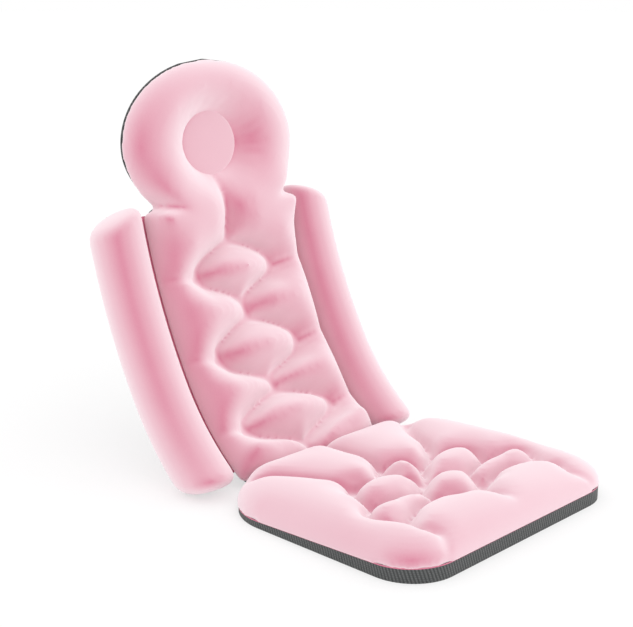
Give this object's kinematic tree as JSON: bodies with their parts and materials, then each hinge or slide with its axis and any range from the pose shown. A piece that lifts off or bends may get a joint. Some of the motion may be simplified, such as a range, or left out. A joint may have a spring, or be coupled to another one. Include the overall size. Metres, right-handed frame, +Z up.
{
  "type": "bath pillow",
  "caption": "Full-body bath pillow: quilted knit seat with a mesh border, a curved reclining back with side bolsters, a round head ring with a flat recess, and suction cups behind.",
  "frame": {"origin": "middle of the bounding box at floor level: the underside of the seat, centred from side to side and from the front of the seat to the back of the cups", "axes": "+Z up, +Y from the front of the seat towards the back, +X to the sitter's left"},
  "size_m": [0.426, 0.5802, 0.5391],
  "materials": {
    "knit": "brushed pink knit",
    "mesh": "grey ribbed spacer mesh",
    "fibre": "white loose fibre filling",
    "cup": "soft clear vinyl",
    "eyelet": "nickel plated"
  },
  "bodies": {
    "seat": {"seat_cover": "knit", "seat_core": "fibre", "seat_border": "mesh", "seat_base": "mesh", "hinge_web": "mesh"},
    "back": {"back_cover": "knit", "back_core": "fibre", "back_base": "mesh", "head_recess_panel": "knit", "wing_web_left": "knit", "wing_web_right": "knit", "cup_lumbar_left": "cup", "cup_lumbar_right": "cup", "cup_shoulder_left": "cup", "cup_shoulder_right": "cup", "cup_head_left": "cup", "cup_head_right": "cup", "eyelet_lumbar_left": "eyelet", "eyelet_lumbar_right": "eyelet", "eyelet_shoulder_left": "eyelet", "eyelet_shoulder_right": "eyelet", "eyelet_head_left": "eyelet", "eyelet_head_right": "eyelet"},
    "wing_left": {"bolster_cover_left": "knit", "bolster_fill_left": "fibre"},
    "wing_right": {"bolster_cover_right": "knit", "bolster_fill_right": "fibre"}
  },
  "joints": [
    {"name": "back_fold", "type": "hinge", "parent": "seat", "child": "back", "pos_m": [0, 0.05386, 0.002], "axis": [1, 0, 0], "range_deg": [-36, 15], "deforming": ["hinge_web"]},
    {"name": "wing_left_fold", "type": "hinge", "parent": "back", "child": "wing_left", "pos_m": [-0.1335, 0.17592, 0.15747], "axis": [0, 0.4902, 0.8716], "range_deg": [-15, 15], "deforming": ["wing_web_left"]},
    {"name": "wing_right_fold", "type": "hinge", "parent": "back", "child": "wing_right", "pos_m": [0.1335, 0.17592, 0.15747], "axis": [0, -0.4902, -0.8716], "range_deg": [-15, 15], "deforming": ["wing_web_right"]}
  ]
}
